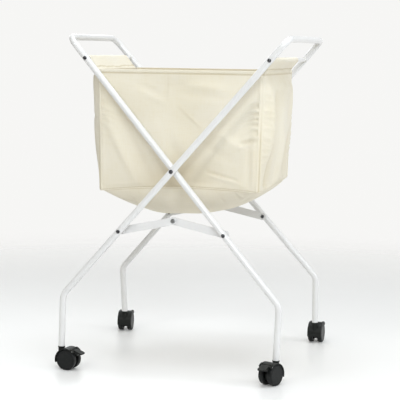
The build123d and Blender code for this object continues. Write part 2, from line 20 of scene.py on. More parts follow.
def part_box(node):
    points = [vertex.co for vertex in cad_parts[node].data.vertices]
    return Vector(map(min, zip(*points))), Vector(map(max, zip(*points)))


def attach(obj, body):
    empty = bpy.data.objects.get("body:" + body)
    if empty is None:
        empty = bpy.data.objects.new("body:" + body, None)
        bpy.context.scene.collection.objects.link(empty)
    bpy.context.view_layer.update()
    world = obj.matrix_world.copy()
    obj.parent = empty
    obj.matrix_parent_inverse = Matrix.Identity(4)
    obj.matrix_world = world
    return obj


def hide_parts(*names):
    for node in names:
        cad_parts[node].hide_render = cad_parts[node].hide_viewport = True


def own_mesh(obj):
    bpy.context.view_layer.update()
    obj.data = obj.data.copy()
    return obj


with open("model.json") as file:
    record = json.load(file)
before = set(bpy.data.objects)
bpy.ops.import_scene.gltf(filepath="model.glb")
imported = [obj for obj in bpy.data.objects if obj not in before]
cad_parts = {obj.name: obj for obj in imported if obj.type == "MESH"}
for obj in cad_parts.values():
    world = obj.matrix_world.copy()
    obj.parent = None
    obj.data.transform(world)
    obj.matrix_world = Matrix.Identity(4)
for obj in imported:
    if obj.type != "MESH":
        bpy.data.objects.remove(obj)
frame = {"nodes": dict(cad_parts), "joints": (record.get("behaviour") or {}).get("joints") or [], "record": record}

log = logging.getLogger("linen_trolley")
Array = np.ndarray
Piece = bpy.types.Object
Finish = bpy.types.Material
Colour = Tuple[float, float, float]
Pair = Tuple[float, float]
Value = Union["Sock", float]
CLOTH_UV = "cloth"
# The cloth's painted shade, from 0 to 1, kept as a point attribute.
PAINTED_SHADE = "painted_shade"


# ---- shader arithmetic ----
class Sock:
    """A shader socket that takes part in Python arithmetic: each operator adds one Math node."""

    def __init__(self, shader: "Shader", socket: bpy.types.NodeSocket) -> None:
        """Wraps one output socket of the shader's tree."""
        self.shader = shader
        self.socket = socket

    def apply(self, operation: str, *others: Value) -> "Sock":
        """A Math node of that operation on this socket and the others."""
        values = dict(enumerate((self, *others)))
        return self.shader.node("ShaderNodeMath", {"operation": operation}, values)

    def __add__(self, other: Value) -> "Sock":
        """This plus other."""
        return self.apply("ADD", other)

    def __mul__(self, other: Value) -> "Sock":
        """This times other."""
        return self.apply("MULTIPLY", other)

    def __rsub__(self, other: float) -> "Sock":
        """A number minus this."""
        return self.shader.node("ShaderNodeMath", {"operation": "SUBTRACT"}, {0: other, 1: self})

    __radd__ = __add__
    __rmul__ = __mul__

    def sine(self) -> "Sock":
        """The sine of this."""
        return self.apply("SINE")

    def smooth(self, low: float, high: float) -> "Sock":
        """0 below low and 1 above high, with a smooth step between them."""
        settings = {"interpolation_type": "SMOOTHSTEP"}
        values = {"Value": self, "From Min": low, "From Max": high}
        return self.shader.node("ShaderNodeMapRange", settings, values)


class Shader:
    """The node tree of one material or world, and the one way that nodes are added to it."""

    def __init__(self, owner: Union[str, bpy.types.World]) -> None:
        """Empties the tree of a world, or of a new material of that name."""
        self.owner = bpy.data.materials.new(owner) if isinstance(owner, str) else owner
        self.owner.use_nodes = True
        self.tree = self.owner.node_tree
        self.tree.nodes.clear()

    def node(
        self,
        kind: str,
        settings: Optional[Dict[str, object]] = None,
        values: Optional[Dict[Union[int, str], object]] = None,
        output: Union[int, str] = 0,
    ) -> Sock:
        """Adds a node.

        Args:
            kind: The node's type.
            settings: Its properties, set before its sockets.
            values: Its sockets' numbers, colours or links, by name or place.
            output: The output socket that is handed back.

        Returns:
            The chosen output socket, or the node's wrapper when it has none.
        """
        made = self.tree.nodes.new(kind)
        for name, value in (settings or {}).items():
            setattr(made, name, value)
        for name, value in (values or {}).items():
            if isinstance(value, Sock):
                self.tree.links.new(value.socket, made.inputs[name])
            else:
                made.inputs[name].default_value = value
        return Sock(self, made.outputs[output]) if len(made.outputs) else Sock(self, None)

    def mix(self, mask: Value, low: object, high: object) -> Sock:
        """A colour that goes from low to high as mask goes from 0 to 1."""
        factor, first, second, result = 0, 6, 7, 2
        values = {factor: mask, first: opaque(low), second: opaque(high)}
        return self.node("ShaderNodeMix", {"data_type": "RGBA"}, values, result)

    def noise(
        self, place: Sock, scale: float, detail: float = 3.0, stretch: Optional[Colour] = None
    ) -> Sock:
        """Noise of that many cells to the metre, stretched along an axis where stretch says so."""
        if stretch is not None:
            place = self.node("ShaderNodeMapping", None, {"Vector": place, "Scale": stretch})
        values = {"Vector": place, "Scale": scale, "Detail": detail}
        return self.node("ShaderNodeTexNoise", None, values, "Fac")

    def part(self, vector: Sock, axis: str) -> Sock:
        """The X, Y or Z of a vector."""
        return self.node("ShaderNodeSeparateXYZ", None, {0: vector}, axis)

    def place(self) -> Sock:
        """Object coordinates, in metres."""
        return self.node("ShaderNodeTexCoord", None, None, "Object")

    def bump(self, height: Sock, strength: float, distance: float, under: Optional[Sock] = None) -> Sock:
        """A normal raised by height, on top of another bump where one is given."""
        values = {"Strength": strength, "Distance": distance, "Height": height}
        if under is not None:
            values["Normal"] = under
        return self.node("ShaderNodeBump", None, values)

    def surface(self, **values: object) -> Finish:
        """Ends the material in a Principled shader with those sockets, their spaces written as _."""
        named = {name.replace("_", " "): value for name, value in values.items()}
        shader = self.node("ShaderNodeBsdfPrincipled", None, named)
        self.node("ShaderNodeOutputMaterial", None, {"Surface": shader})
        return self.owner


def opaque(colour: object) -> object:
    """A colour with its alpha added, or a socket as it is."""
    return (*colour, 1.0) if isinstance(colour, tuple) else colour


# ---- finishes ----
@dataclass(frozen=True)
class PowderCoat:
    """Baked white enamel on tube and bar: a faint orange peel, rubbed places and dust low down."""

    name: str
    colour: Colour = (0.71, 0.705, 0.70)
    rubbed: Colour = (0.65, 0.645, 0.64)
    dust: Colour = (0.66, 0.65, 0.63)
    roughness: float = 0.34
    peel_scale: float = 240.0
    dust_top: float = 0.22

    def build(self) -> Finish:
        """The material: large soft patches, peel as bump, and dust that fades with height."""
        shader = Shader(self.name)
        place = shader.place()
        patches = shader.noise(place, 7.0, 5.0)
        height = shader.part(place, "Z")
        specks = shader.noise(place, 260.0, 2.0)
        low = 1.0 - height.smooth(0.02, self.dust_top)
        dust = low * specks.smooth(0.52, 0.70) * 0.35
        coat = shader.mix(patches.smooth(0.45, 0.75) * 0.5, self.colour, self.rubbed)
        return shader.surface(
            Base_Color=shader.mix(dust, coat, self.dust),
            Roughness=patches * 0.14 + dust * 0.4 + (self.roughness - 0.06),
            Coat_Weight=0.35,
            Coat_Roughness=0.12,
            Normal=shader.bump(shader.noise(place, self.peel_scale, 1.0), 0.06, 0.0002),
        )


@dataclass(frozen=True)
class Moulding:
    """Moulded plastic: a fine spark grain, scuffs on the parts that rub, and a soft gloss."""

    name: str
    colour: Colour
    scuffed: Colour
    roughness: float = 0.42
    scuff: float = 0.35
    gloss: float = 0.18
    grain_scale: float = 1400.0

    def build(self) -> Finish:
        """The material: stretched noise makes the scuffs, fine noise the grain."""
        shader = Shader(self.name)
        place = shader.place()
        streaks = shader.noise(place, 90.0, 4.0, (1.0, 1.0, 3.5))
        worn = streaks.smooth(0.55, 0.72) * self.scuff
        return shader.surface(
            Base_Color=shader.mix(worn, self.colour, self.scuffed),
            Roughness=worn * 0.3 + shader.noise(place, 40.0) * 0.12 + (self.roughness - 0.06),
            Specular_IOR_Level=self.gloss,
            Normal=shader.bump(shader.noise(place, self.grain_scale, 2.0), 0.12, 0.0002),
        )


@dataclass(frozen=True)
class PlainMetal:
    """Plated or blackened steel: turning marks round its fittings and a mottled gloss."""

    name: str
    colour: Colour
    stained: Colour
    roughness: float = 0.3

    def build(self) -> Finish:
        """The material: mottled colour and gloss, with fine marks as bump."""
        shader = Shader(self.name)
        place = shader.place()
        mottle = shader.noise(place, 160.0, 4.0)
        marks = shader.noise(place, 900.0, 2.0, (1.0, 6.0, 1.0))
        return shader.surface(
            Base_Color=shader.mix(mottle.smooth(0.4, 0.7) * 0.6, self.colour, self.stained),
            Metallic=1.0,
            Roughness=mottle * 0.25 + (self.roughness - 0.1),
            Normal=shader.bump(marks, 0.15, 0.0001),
        )


@dataclass(frozen=True)
class Canvas:
    """Plain woven cotton: its threads cross over and under, with slubs, soft stains and small creases."""

    name: str
    colour: Colour = (0.755, 0.710, 0.604)
    deep: Colour = (0.70, 0.630, 0.455)
    # Painted shade: the colour that the cloth darkens towards in seams, folds, creases, under the hem and low
    # down.
    shade_colour: Colour = (0.42, 0.325, 0.165)
    thread: float = 0.0009
    weave_depth: float = 0.00022
    crease_depth: float = 0.0011

    def build(self) -> Finish:
        """The material.

        With a and b the sines of the distance along the warp and the weft, one thread pitch to a half
        turn, the height is a*a*(1 + a*b)/2 + b*b*(1 - a*b)/2: each set stands up where the other dips.
        It reads the cloth's own flat measure.
        """
        shader = Shader(self.name)
        flat = shader.node("ShaderNodeUVMap", {"uv_map": CLOTH_UV})
        along = shader.part(flat, "X")
        across = shader.part(flat, "Y")
        turn = math.pi / self.thread
        warp, weft = (along * turn).sine(), (across * turn).sine()
        crossing = warp * weft
        weave = warp * warp * (crossing + 1.0) * 0.5 + weft * weft * (1.0 - crossing) * 0.5
        slubs = shader.noise(flat, 260.0, 2.0, (0.12, 1.0, 1.0))
        slubs = slubs + shader.noise(flat, 260.0, 2.0, (1.0, 0.12, 1.0))
        folds = shader.noise(flat, 26.0, 5.0) + shader.noise(flat, 70.0, 4.0) * 0.4
        tone = shader.noise(flat, 6.0, 4.0).smooth(0.35, 0.72) * 0.32 + slubs.smooth(0.95, 1.25) * 0.18
        tone = tone + (1.0 - weave) * 0.14
        # Painted shade, read from the point attribute, darkens the cloth towards the shade colour.
        shade = shader.node("ShaderNodeAttribute", {"attribute_name": PAINTED_SHADE}, None, "Fac")
        cloth = shader.mix(shade, shader.mix(tone, self.colour, self.deep), self.shade_colour)
        folded = shader.bump(folds, 0.55, self.crease_depth)
        return shader.surface(
            Base_Color=cloth,
            Roughness=weave * -0.06 + 0.95,
            Sheen_Weight=0.18,
            Sheen_Roughness=0.6,
            Specular_IOR_Level=0.25,
            Normal=shader.bump(weave + slubs * 0.5, 0.5, self.weave_depth, folded),
        )


@dataclass(frozen=True)
class Thread:
    """Sewing thread: a fine twist along every stitch."""

    name: str
    colour: Colour = (0.78, 0.73, 0.60)
    groove: Colour = (0.58, 0.53, 0.40)

    def build(self) -> Finish:
        """The material: the twist is a wave across the thread."""
        shader = Shader(self.name)
        values = {"Vector": shader.place(), "Scale": 900.0, "Distortion": 1.5}
        twist = shader.node("ShaderNodeTexWave", {"bands_direction": "DIAGONAL"}, values, "Fac")
        return shader.surface(
            Base_Color=shader.mix(twist, self.groove, self.colour),
            Roughness=twist * 0.1 + 0.7,
            Sheen_Weight=0.3,
        )


@dataclass(frozen=True)
class StudioFloor:
    """A pale seamless floor that fades into the light round it."""

    name: str = "studio_floor"
    colour: Colour = (0.84, 0.83, 0.818)
    # Painted light: the lighter colour towards the front.
    front: Colour = (0.90, 0.89, 0.88)
    fade_start: float = 1.1
    fade_end: float = 2.6

    def build(self) -> Finish:
        """The material: a dull gloss that clears at the floor's edge, with painted light that makes it lighter
        towards the front.
        """
        shader = Shader(self.name)
        place = shader.place()
        distance = shader.node("ShaderNodeVectorMath", {"operation": "LENGTH"}, {0: place}, "Value")
        depth = shader.part(place, "Y")
        # Painted light: lighter towards the front.
        tone = shader.mix(1.0 - depth.smooth(-1.3, 0.5), self.colour, self.front)
        values = {"Base Color": tone, "Roughness": 0.32, "Specular IOR Level": 0.30}
        floor = shader.node("ShaderNodeBsdfPrincipled", None, values)
        clear = shader.node("ShaderNodeBsdfTransparent")
        mask = distance.smooth(self.fade_start, self.fade_end)
        blend = shader.node("ShaderNodeMixShader", None, {0: mask, 1: floor, 2: clear})
        shader.node("ShaderNodeOutputMaterial", None, {"Surface": blend})
        return shader.owner


class Slot(Enum):
    """The record's material slots that this file finishes."""

    ENAMEL = "white_enamel"
    LINKS = "white_links"
    RODS = "rod_steel"
    BOLTS = "black_bolts"
    PLATED = "plated_steel"
    NYLON = "black_nylon"
    TREAD = "black_tread"
    SPACERS = "white_nylon"
    CANVAS = "cream_canvas"


def slot_finishes() -> Dict[str, Finish]:
    """A finished material for every slot of the record, by the slot's name."""
    finishes = {
        Slot.ENAMEL: PowderCoat("frame_enamel"),
        Slot.LINKS: PowderCoat("link_enamel", roughness=0.40, peel_scale=200.0),
        Slot.RODS: PowderCoat("rod_enamel", roughness=0.30),
        Slot.BOLTS: PlainMetal("blackened_bolts", (0.045, 0.045, 0.050), (0.20, 0.20, 0.205), 0.36),
        Slot.PLATED: PlainMetal("zinc_plate", (0.36, 0.365, 0.37), (0.24, 0.24, 0.235)),
        Slot.NYLON: Moulding("black_nylon_moulding", (0.011, 0.012, 0.011), (0.035, 0.035, 0.034)),
        Slot.TREAD: Moulding("black_wheel_moulding", (0.010, 0.011, 0.011), (0.05, 0.049, 0.047), 0.36),
        Slot.SPACERS: Moulding("natural_nylon", (0.72, 0.71, 0.67), (0.55, 0.54, 0.5), 0.45, 0.2, 0.5),
        Slot.CANVAS: Canvas("cream_cotton_canvas"),
    }
    return {slot.value: finish.build() for slot, finish in finishes.items()}


# ---- surfaces on grids ----
def grid_faces(rows: int, columns: int, wrap: bool) -> Tuple[Array, Array]:
    """Quads of a grid whose rows run down and whose columns run to the right, seen from outside.

    Args:
        rows: Rows of points.
        columns: Columns of points.
        wrap: Whether the last column joins the first.

    Returns:
        The corners of each quad in the grid of points, and in a grid with one more column, which
        is where a wrapped surface keeps its flat measure.
    """
    spans = columns if wrap else columns - 1
    row, column = np.meshgrid(np.arange(rows - 1), np.arange(spans), indexing="ij")

    def corners(width: int) -> Array:
        """The four corners of every quad, counted on rows of that width."""
        here, beside = row * width + column, row * width + (column + 1) % width
        return np.stack([here, here + width, beside + width, beside], axis=-1).reshape(-1, 4)

    return corners(columns), corners(spans + 1)


def add_object(name: str, data: bpy.types.ID) -> Piece:
    """A new object in the scene that holds a mesh, a light or a camera."""
    made = bpy.data.objects.new(name, data)
    bpy.context.scene.collection.objects.link(made)
    return made


def make_piece(
    name: str,
    points: Array,
    faces: Array,
    material: Finish,
    flat: Optional[Array] = None,
    shade: Optional[Array] = None,
) -> Piece:
    """A mesh object at the origin, with smooth faces.

    Args:
        name: The object's name.
        points: Its points, each a row of 3.
        faces: The corners of each face, as rows of an array or as a list.
        material: Its finish.
        flat: The flat measure of each corner of each face in turn, or nothing.
        shade: How much painted shade darkens the cloth at each point, from 0 to 1, or nothing.

    Returns:
        The new object.
    """
    mesh = bpy.data.meshes.new(name)
    faces = faces.tolist() if isinstance(faces, np.ndarray) else faces
    mesh.from_pydata(points.reshape(-1, 3).tolist(), [], faces)
    mesh.polygons.foreach_set("use_smooth", np.ones(len(mesh.polygons), dtype=bool))
    if flat is not None:
        layer = mesh.uv_layers.new(name=CLOTH_UV)
        layer.data.foreach_set("uv", flat.astype(np.float32).ravel())
    if shade is not None:
        layer = mesh.attributes.new(PAINTED_SHADE, "FLOAT", "POINT")
        layer.data.foreach_set("value", shade.astype(np.float32).ravel())
    mesh.materials.append(material)
    mesh.update()
    return add_object(name, mesh)


def turn_outward(piece: Piece) -> Piece:
    """Points the faces of a closed piece outward."""
    shape = bmesh.new()
    shape.from_mesh(piece.data)
    bmesh.ops.recalc_face_normals(shape, faces=shape.faces)
    shape.to_mesh(piece.data)
    shape.free()
    return piece


def thicken(piece: Piece, thickness: float, offset: float) -> None:
    """Gives a sheet its cloth's thickness: inward with offset -1, and half to each side with 0."""
    wall = piece.modifiers.new("cloth_thickness", "SOLIDIFY")
    wall.thickness = thickness
    wall.offset = offset
    wall.use_even_offset = False


def unit(vectors: Array) -> Array:
    """Each vector at length 1."""
    return vectors / np.maximum(np.linalg.norm(vectors, axis=-1, keepdims=True), 1e-12)


def run_length(points: Array, closed: bool = False) -> Array:
    """The distance travelled along a row of points, from 0 at the first."""
    ends = np.concatenate([points, points[:1]]) if closed else points
    steps = np.linalg.norm(np.diff(ends, axis=0), axis=1)
    return np.concatenate([[0.0], np.cumsum(steps)])


def smooth_step(value: Array, low: float, high: float) -> Array:
    """0 below low and 1 above high, with the cubic 3s^2 - 2s^3 between them."""
    share = np.clip((value - low) / (high - low), 0.0, 1.0)
    return share * share * (3.0 - 2.0 * share)


def bell(value: Array, width: float) -> Array:
    """1 where value is 0, fading to both sides as exp(-(value / width)^2)."""
    return np.exp(-((value / width) ** 2))


def spread_out(count: int) -> Array:
    """Numbers from -1 to 1, closer together towards the ends: sin(0.43 pi t) over its value at 1."""
    return np.sin(np.linspace(-0.43, 0.43, count) * math.pi) / math.sin(0.43 * math.pi)


@dataclass(frozen=True)
class Band:
    """A closed profile that is carried along a path, as a hem or a welt is along its edge."""

    profile: Array  # its points (p, q) in turn
    closed: bool  # whether the path's end joins its start
    inner_shade: float = 0.0  # how dark the cloth is where p is negative

    def make(self, name: str, path: Array, out: Array, up: Array, material: Finish) -> Piece:
        """The band, in which each point is path + out * p + up * q; an open one has its ends closed.

        Args:
            name: The object's name.
            path: The path, n by 3.
            out: The outward direction at each of its points.
            up: The upward direction at each of its points.
            material: Its finish.

        Returns:
            The new object.
        """
        p, q = self.profile.T[:, :, None, None]
        points = path + p * out + q * up
        count, length = len(self.profile), len(path)
        measures = (run_length(self.profile, True), run_length(path, self.closed))
        flat = np.stack(np.meshgrid(*measures, indexing="ij"), axis=-1)
        faces, corners = grid_faces(count + 1, length, self.closed)
        flat = flat.reshape(-1, 2)[corners].reshape(-1, 2)
        faces = (faces % (count * length)).tolist()
        for end in () if self.closed else (0, length - 1):
            faces.append([row * length + end for row in range(count)])
            flat = np.concatenate([flat, self.profile])
        shade = np.repeat(self.inner_shade * (self.profile[:, 0] < 0.0), length)
        return turn_outward(make_piece(name, points, faces, material, flat, shade))


def rounded_profile(half_out: float, half_up: float, power: float, count: int) -> Array:
    """A rounded oblong, the curve |p/half_out|^power + |q/half_up|^power = 1, as points in turn."""
    angle = np.linspace(0.0, 2.0 * math.pi, count, endpoint=False)
    turns = ((half_out, np.cos(angle)), (half_up, np.sin(angle)))
    sides = [half * np.sign(turn) * np.abs(turn) ** (2.0 / power) for half, turn in turns]
    return np.stack(sides, axis=1)


@dataclass(frozen=True)
class Stitching:
    """A row of sewn stitches, each a small spindle of thread that lies on the cloth."""

    length: float = 0.0030
    pitch: float = 0.0040
    radius: float = 0.00038
    dip: float = 0.00018
    rings: int = 5
    sides: int = 6

    def make(self, name: str, path: Array, out: Array, material: Finish, closed: bool = False) -> Piece:
        """The row along a path.

        A point of a stitch is centre + tangent * s * length / 2 + radius * sqrt(1 - s^2) * (cos a * out
        + sin a * side), with s from -1 to 1 along the thread and a round it.

        Args:
            name: The object's name.
            path: The path on the cloth, n by 3.
            out: The outward direction at each of its points.
            material: The thread's finish.
            closed: Whether the path's end joins its start.

        Returns:
            The new object.
        """
        if closed:
            path, out = np.concatenate([path, path[:1]]), np.concatenate([out, out[:1]])
        travelled = run_length(path)
        centres = np.arange(self.pitch / 2, travelled[-1] - self.pitch / 2, self.pitch)

        def at(distance: Array, values: Array) -> Array:
            """Values of the path, read at a distance along it."""
            return np.stack([np.interp(distance, travelled, values[:, k]) for k in range(3)], axis=1)

        ahead, behind = at(centres + self.length / 2, path), at(centres - self.length / 2, path)
        tangent, outward = unit(ahead - behind), unit(at(centres, out))
        side = unit(np.cross(tangent, outward))
        rows = self.rings + 2
        share = -np.cos(np.linspace(0.0, math.pi, rows))
        angle = np.linspace(0.0, 2.0 * math.pi, self.sides, endpoint=False)
        share, angle = np.meshgrid(share, angle, indexing="ij")
        girth = self.radius * np.sqrt(np.maximum(1.0 - share**2, 1e-4))
        lift = self.radius - self.dip - self.dip * 2.0 * share**2
        placed = (at(centres, path), tangent, outward, side)
        spindle, tangent, outward, side = (values[:, None, None, :] for values in placed)
        spindle = spindle + tangent * (share * self.length / 2)[..., None]
        spindle = spindle + outward * (girth * np.cos(angle) + lift)[..., None]
        spindle = spindle + side * (girth * np.sin(angle))[..., None]
        faces, _ = grid_faces(rows, self.sides, True)
        ends, block = np.arange(self.sides), rows * self.sides
        starts = np.arange(len(centres))[:, None, None] * block
        quads = (faces[None, :, :] + starts).reshape(-1, 4).tolist()
        caps = np.stack([ends[::-1], ends + block - self.sides])
        quads += (caps[None, :, :] + starts).reshape(-1, self.sides).tolist()
        return turn_outward(make_piece(name, spindle, quads, material))


# ---- the bag ----
class Profile(Enum):
    """How a fold in the cloth rises across its line."""

    SOFT = "soft"
    SHARP = "sharp"


@dataclass(frozen=True)
class Crease:
    """A fold from one point to another on a panel: it rises by height, negative into the bag."""

    start: Pair
    end: Pair
    width: float
    height: float
    profile: Profile = Profile.SOFT

    def rise(self, first: Array, second: Array) -> Array:
        """The rise at points of the panel, from their first and second coordinates on it.

        With d the distance to the fold's line and q the share of the way along it, the rise is height
        * exp(-(d/width)^2), or exp(-|d|/width) for a sharp fold, times sin(pi q)^0.5 to fade its ends.
        """
        (a, b), (c, d) = self.start, self.end
        long_x, long_y = c - a, d - b
        share = ((first - a) * long_x + (second - b) * long_y) / (long_x**2 + long_y**2)
        held = np.clip(share, 0.0, 1.0)
        away = np.hypot(first - a - held * long_x, second - b - held * long_y)
        soft = self.profile is Profile.SOFT
        across = bell(away, self.width) if soft else np.exp(-away / self.width)
        return self.height * across * np.sqrt(np.sin(math.pi * np.clip(held * 0.9 + 0.05, 0.0, 1.0)))


def creases(*rows: Sequence[object]) -> Tuple[Crease, ...]:
    """Creases from rows of both ends, width and height in millimetres, and a profile if not soft."""
    metres = [tuple(size / 1000.0 for size in row[:6]) for row in rows]
    return tuple(Crease(m[:2], m[2:4], m[4], m[5], *row[6:]) for m, row in zip(metres, rows))


FRONT_CREASES = creases(
    (-26.5, 728, -26.5, 662, 1.6, 1.4, Profile.SHARP),
    (-2, 652, 58, 598, 1.6, 1.4, Profile.SHARP), (-100, 700, -45, 676, 10, -2.6),
    (-90, 684, -36, 660, 9, 2), (20, 702, 110, 694, 10, 2.6),
    (10, 682, 120, 670, 9, -2), (72, 492, 148, 474, 3.5, -4),
    (80, 482, 156, 465, 4.5, 3.2), (192, 668, 192, 452, 10, 5.4),
    (179, 570, 177, 458, 6, -4.6), (160, 562, 204, 577, 5, -11),
    (158, 552, 200, 564, 5.5, 6), (-203, 618, -180, 610, 3.4, -4.4),
    (-186, 612, -110, 470, 10, 4.4), (-160, 640, -70, 470, 18, -5.6),
    (-196, 600, -194, 462, 6, 3.4), (60, 560, 140, 520, 14, -3.6),
    (95, 588, 165, 548, 12, 3.6), (-20, 560, 20, 470, 20, -5),
)
RIGHT_CREASES = creases(
    (-15, 590, -8, 448, 22, 16), (-80, 575, -108, 448, 22, -19),
    (-145, 705, -132, 540, 18, 12), (-80, 690, -65, 600, 26, -11),
    (80, 600, 110, 455, 26, -11), (30, 720, -40, 650, 18, -3.5),
    (120, 700, 60, 560, 20, 5),
)
BACK_CREASES = creases(
    (-160, 700, -60, 600, 14, -3.5), (150, 690, 50, 560, 16, 3.5),
    (10, 725, 12, 640, 2, 1.2, Profile.SHARP), (-180, 560, -60, 470, 12, 3.5),
    (186, 640, 190, 460, 10, 4), (60, 500, 150, 480, 5, -3),
)
LEFT_CREASES = creases(
    (-60, 600, -90, 452, 20, -8), (50, 560, 60, 452, 18, 7),
    (-160, 625, -163, 470, 6, 5.5), (-130, 622, -165, 612, 5, -6),
    (100, 700, 20, 620, 18, -3.5),
)
BELLY_CREASES = creases(
    (98, -166, 112, -136, 3, -3), (142, -166, 158, -128, 3.5, -4.2),
    (150, -166, 168, -130, 3.5, 3), (-185, -160, -120, -140, 10, 5),
    (-120, -164, -95, -110, 7, 3.6), (-40, -160, -10, -80, 14, 4),
    (30, -160, 16, -60, 12, -3.6), (-195, 150, -80, 40, 14, -5),
    (190, 150, 90, 50, 14, -5), (195, -155, 110, -50, 13, -6),
    (-195, -155, -110, -50, 13, -4.5),
)
# The walls by axis and side, with their creases and the seed of their ripples.
WALLS = (
    (1, -1.0, FRONT_CREASES, 3),
    (0, 1.0, RIGHT_CREASES, 5),
    (1, 1.0, BACK_CREASES, 7),
    (0, -1.0, LEFT_CREASES, 9),
)
# Top and bottom of the stretches of seam that pucker the cloth.
UPPER, LONG = (0.672, 0.566), (0.69, 0.5)
# Where it is puckered: by axis and side of the wall, which end of it, how much, and the stretch.
PUCKERS = (
    (1, -1.0, 1.0, 1.0, UPPER),
    (1, -1.0, -1.0, 0.15, UPPER),
    (1, 1.0, -1.0, 0.15, UPPER),
    (0, 1.0, -1.0, 0.45, LONG),
    (0, 1.0, 1.0, 0.45, LONG),
)
# By side: how far the wall swells, how steeply off its corner seams, and where it is full and slack.
SIDE_SWELL = {1.0: (0.0180, 5.0, 0.16, 0.55), -1.0: (0.0250, 9.0, 0.06, 0.40)}
FRONT_BULGE = 0.003  # the front and the back wall, past the corner seams
FLAP_SHORTFALL = 0.012  # how far inside the back wall a flap ends at least
FLAP_FLARE = 0.035  # how far past its sleeve a flap may reach
FLAP_STAND = 0.002  # a flap's distance outside its wall, and inside the front


@dataclass
class Bag:
    """The sewn bag: four walls that billow between their corner seams, and a belly that hangs."""

    rim: float  # height of the top of the walls
    rod_reach: float  # middle plane to the rods that carry it
    half_depth: float
    belly_floor: float  # lowest point of the belly
    fold_keep: float  # share of its width that is left when the trolley folds
    rod_inset: float = 0.0235  # rod axis to the corner seams, at the rim
    draw_in: float = 0.0070  # narrower at the bottom seam, each side
    wall_height: float = 0.2990
    seam_arch: float = 0.0120  # the front and back seams rise to their middle
    seam_lift: Pair = (0.0070, 0.0190)  # higher at the front right and the back right
    corner: float = 0.0085  # radius of the corners
    front_billow: float = 0.0055
    belly_shift: float = 0.13  # the belly hangs deeper on the left by this share
    cloth: float = 0.0011
    hem_height: float = 0.0072
    hem_stand: float = 0.0014
    hem_sewn: float = 0.0018  # the hem's lower edge to its stitches
    hem_shadow: Pair = (0.0008, 0.0013)  # how far below the hem it lies, and its width
    rim_inside_shade: float = 0.40  # painted shade on the hem inside
    seam_groove_shade: Pair = (0.10, 0.45)  # painted shade in a corner seam's groove at the top, and what it gains lower down
    crease_shade: float = 0.22  # painted shade along a sharp crease
    middle_shade: float = 0.40  # painted shade low on the front, behind the crossing
    low_shade: float = 0.06  # painted shade that all four walls gain lower down
    belly_shade: Pair = (0.10, 0.75)  # painted shade all over the belly, and what it gains at its seam
    belly_seam: float = 0.0022
    fold_shade: float = 0.20  # painted shade: how much darker the cloth is deep in a fold
    deep_fold: float = 0.016
    corner_hold: float = 0.75  # the share of a fold that the corners pull flat
    hem_hold: Pair = (0.03, 0.13)  # shares of the height where the folds start, and are free of the hem
    seam_hold: float = 0.95  # where the bottom seam starts to flatten them
    swell_loss: float = 0.85  # how much of its swell a side wall loses down to the bottom seam
    ripple_steepness: float = 0.0075  # a ripple's height over its length
    welt: float = 0.0010
    groove: float = 0.0016  # how deep the seams pull in
    groove_reach: float = 0.0019
    pucker_pitch: float = 0.0165
    pucker_reach: float = 0.026  # how far the puckers run from their seam
    pucker_depth: float = 0.0058
    panel_points: Tuple[int, int, int] = (132, 96, 7)  # along the front, along a side, round a corner
    wall_rows: int = 110
    belly_rows: int = 46
    pieces: List[Piece] = field(default_factory=list)

    def __post_init__(self) -> None:
        """Works out the walls' outline."""
        self.edge, self.normal = self.outline()

    def outline(self) -> Tuple[Array, Array]:
        """The walls' outline, counterclockwise from the front left corner.

        A point is edge * (half size - corner) + normal * corner, with edge on the unit square and
        normal of length 1: along a straight wall edge moves and normal stays, round a corner edge
        stays and normal turns.

        Returns:
            The edge and the normal at each point, n by 2.
        """
        front, side, turn = self.panel_points
        edges, normals = [], []
        quarters = ((0.0, -1.0, front), (1.0, 0.0, side), (0.0, 1.0, front), (-1.0, 0.0, side))
        for x, y, count in quarters:
            share = spread_out(count)
            edges.append(np.stack([x - y * share, y + x * share], axis=1))
            normals.append(np.tile([x, y], (count, 1)))
            angle = math.atan2(y, x) + np.linspace(0.0, math.pi / 2, turn + 2)[1:-1]
            edges.append(np.tile([x - y, y + x], (turn, 1)))
            normals.append(np.stack([np.cos(angle), np.sin(angle)], axis=1))
        return np.concatenate(edges), np.concatenate(normals)

    def facing(self, axis: int, side: float) -> Array:
        """Which columns are on the straight wall that faces that side of an axis."""
        return self.normal[None, :, axis] * side > 0.99

    def seam_height(self) -> Array:
        """Height of the bottom seam.

        It rises by seam_arch * (1 - x^2) along the front and back, and by ((x + 1) / 2)^2 * (a + b * y)
        towards the right, where a and b are the mean and half the difference of its two lifts.
        """
        front_lift, back_lift = self.seam_lift
        x, y = self.edge.T
        lift = (front_lift + back_lift) / 2 + (back_lift - front_lift) / 2 * y
        rise = self.seam_arch * (1.0 - x**2) + lift * (0.5 + 0.5 * x) ** 2
        return self.rim - self.wall_height + rise

    def ripple(self, first: Array, second: Array, seed: int) -> Array:
        """Slow waves in the cloth: a sum of sines of seeded direction, length and phase."""
        chance = np.random.default_rng(seed)
        total = np.zeros(first.shape)
        for length in (0.34, 0.21, 0.15, 0.11, 0.08):
            heading, phase = chance.uniform(0.0, math.pi), chance.uniform(0.0, 2.0 * math.pi)
            run = first * math.cos(heading) + second * math.sin(heading)
            total += length * self.ripple_steepness * np.sin(2.0 * math.pi * run / length + phase)
        return total

    def pucker(self, from_seam: Array, height: Array, top: float, bottom: float) -> Array:
        """Short pleats pulled in along a seam.

        The wave sin(2 pi z / pitch + a slower sine) bends with the square of the distance from the
        seam, and fades with it and towards the ends of its stretch.

        Args:
            from_seam: Distance of each point from the seam.
            height: Height of each point.
            top: Where the stretch starts.
            bottom: Where it ends.

        Returns:
            The rise at each point.
        """
        droop = 2.2 * (from_seam / self.pucker_reach) ** 2
        turn = 2.0 * math.pi * height / self.pucker_pitch
        wave = np.sin(turn + droop + 1.7 * np.sin(height / 0.011))
        ends = smooth_step(height, bottom, bottom + 0.02) * (1.0 - smooth_step(height, top - 0.02, top))
        held = bell(from_seam, self.pucker_reach) * smooth_step(from_seam, 0.0, 0.004)
        return self.pucker_depth * wave * ends * held

